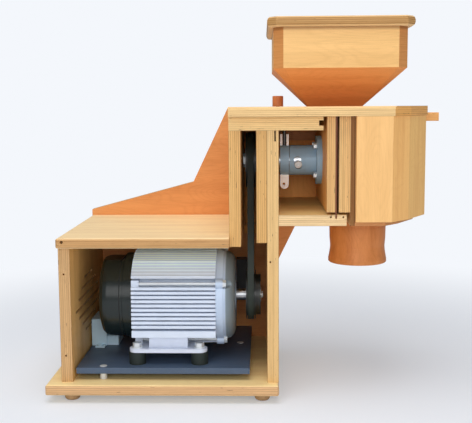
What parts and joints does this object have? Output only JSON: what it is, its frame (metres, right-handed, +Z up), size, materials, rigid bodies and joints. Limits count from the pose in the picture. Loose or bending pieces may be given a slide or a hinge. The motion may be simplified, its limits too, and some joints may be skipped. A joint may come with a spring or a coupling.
{
  "type": "grain mill",
  "caption": "Open-sided beech stone grain mill: belt-driven stones in a side housing with a spout below, a lidded hopper above and a fineness lever.",
  "frame": {"origin": "middle of the mill's bounding box on the table", "axes": "+X along the cabinet from the motor end to the stone housing, +Y from the open side to the back panel, +Z up"},
  "size_m": [0.6316, 0.316, 0.5935],
  "materials": {
    "beech_ply": "oiled beech plywood with its layers showing on the edges",
    "beech_panel": "oiled beech plywood face",
    "beech_turned": "oiled solid beech",
    "hardboard": "thin pressed board",
    "housing_steel": "turned steel",
    "zinc_steel": "zinc plated steel",
    "bearing_steel": "ground steel",
    "cast_aluminium": "painted cast aluminium",
    "box_metal": "satin grey paint",
    "plate_steel": "blue grey paint",
    "black_plastic": "matt",
    "red_plastic": "gloss",
    "belt_rubber": "matt",
    "buffer_rubber": "matt",
    "grinding_stone": "rough ground"
  },
  "bodies": {
    "cabinet": {"base_board": "beech_ply", "vent_wall": "beech_ply", "motor_roof_board": "beech_ply", "duct_board": "beech_ply", "bearing_board": "beech_ply", "post_board": "beech_ply", "roof_beam": "beech_ply", "roof_board": "beech_ply", "chamber_floor": "beech_ply", "flange_board": "beech_ply", "feed_board": "beech_ply", "stone_housing": "beech_ply", "hopper_walls": "beech_ply", "rear_boards": "beech_ply", "back_panel": "beech_panel", "backing_board": "beech_panel", "mill_floor": "beech_panel", "feet": "beech_turned", "spout": "beech_turned", "hopper_funnel": "beech_turned", "dust_sheet": "hardboard", "bearing_housing": "housing_steel", "housing_bolts": "zinc_steel", "tie_bolts": "zinc_steel", "foot_bolts": "zinc_steel", "plate_standoffs": "zinc_steel", "plate_bolts": "zinc_steel", "stator_housing": "cast_aluminium", "end_shield": "cast_aluminium", "motor_feet": "cast_aluminium", "terminal_box": "box_metal", "capacitor_box": "box_metal", "motor_plate": "plate_steel", "fan_cowl": "black_plastic", "switch_body": "black_plastic", "cable_gland": "black_plastic", "belt": "belt_rubber", "rubber_buffers": "buffer_rubber", "fixed_stone": "grinding_stone"},
    "carriage": {"bearing_left": "bearing_steel", "bearing_right": "bearing_steel"},
    "lever": {"sleeve": "zinc_steel", "lever_collar": "zinc_steel", "lever_rod": "zinc_steel", "lever_grip": "beech_turned", "lock_screw": "zinc_steel"},
    "mill_rotor": {"mill_shaft": "bearing_steel", "mill_pulley": "housing_steel", "pulley_nut": "zinc_steel", "rotating_stone": "grinding_stone", "stone_nut": "zinc_steel"},
    "motor_rotor": {"motor_shaft": "bearing_steel", "motor_pulley": "housing_steel", "pulley_bolt": "zinc_steel", "fan": "black_plastic"},
    "grain_gate": {"grain_slider": "beech_panel", "slider_knob": "beech_turned"},
    "lid": {"hopper_lid": "beech_ply", "lid_frame": "beech_ply"},
    "rocker": {"switch_rocker": "red_plastic"}
  },
  "joints": [
    {"name": "sleeve_travel", "type": "slide", "parent": "cabinet", "child": "carriage", "axis": [1, 0, 0], "range_m": [-0.00096, 0.00024]},
    {"name": "lever_swing", "type": "hinge", "parent": "carriage", "child": "lever", "pos_m": [0.0843, 0, 0.37], "axis": [1, 0, 0], "range_deg": [-16, 4]},
    {"name": "mill_spin", "type": "hinge", "parent": "carriage", "child": "mill_rotor", "pos_m": [0.0843, 0, 0.37], "axis": [1, 0, 0], "continuous": true},
    {"name": "motor_spin", "type": "hinge", "parent": "cabinet", "child": "motor_rotor", "pos_m": [0.0053, -0.04, 0.149], "axis": [1, 0, 0], "continuous": true},
    {"name": "grain_gate_slide", "type": "slide", "parent": "cabinet", "child": "grain_gate", "axis": [1, 0, 0], "range_m": [0, 0.018]},
    {"name": "lid_lift", "type": "slide", "parent": "cabinet", "child": "lid", "axis": [0, 0, 1], "range_m": [0, 0.04]},
    {"name": "rocker_tilt", "type": "hinge", "parent": "cabinet", "child": "rocker", "pos_m": [-0.0136, 0.145, 0.1515], "axis": [1, 0, 0], "range_deg": [-16, 0]}
  ],
  "couplings": [
    {"joint": "sleeve_travel", "follows": "lever_swing", "m_per_rad": 0.0034377},
    {"joint": "motor_spin", "follows": "mill_spin", "ratio": 1.122}
  ]
}
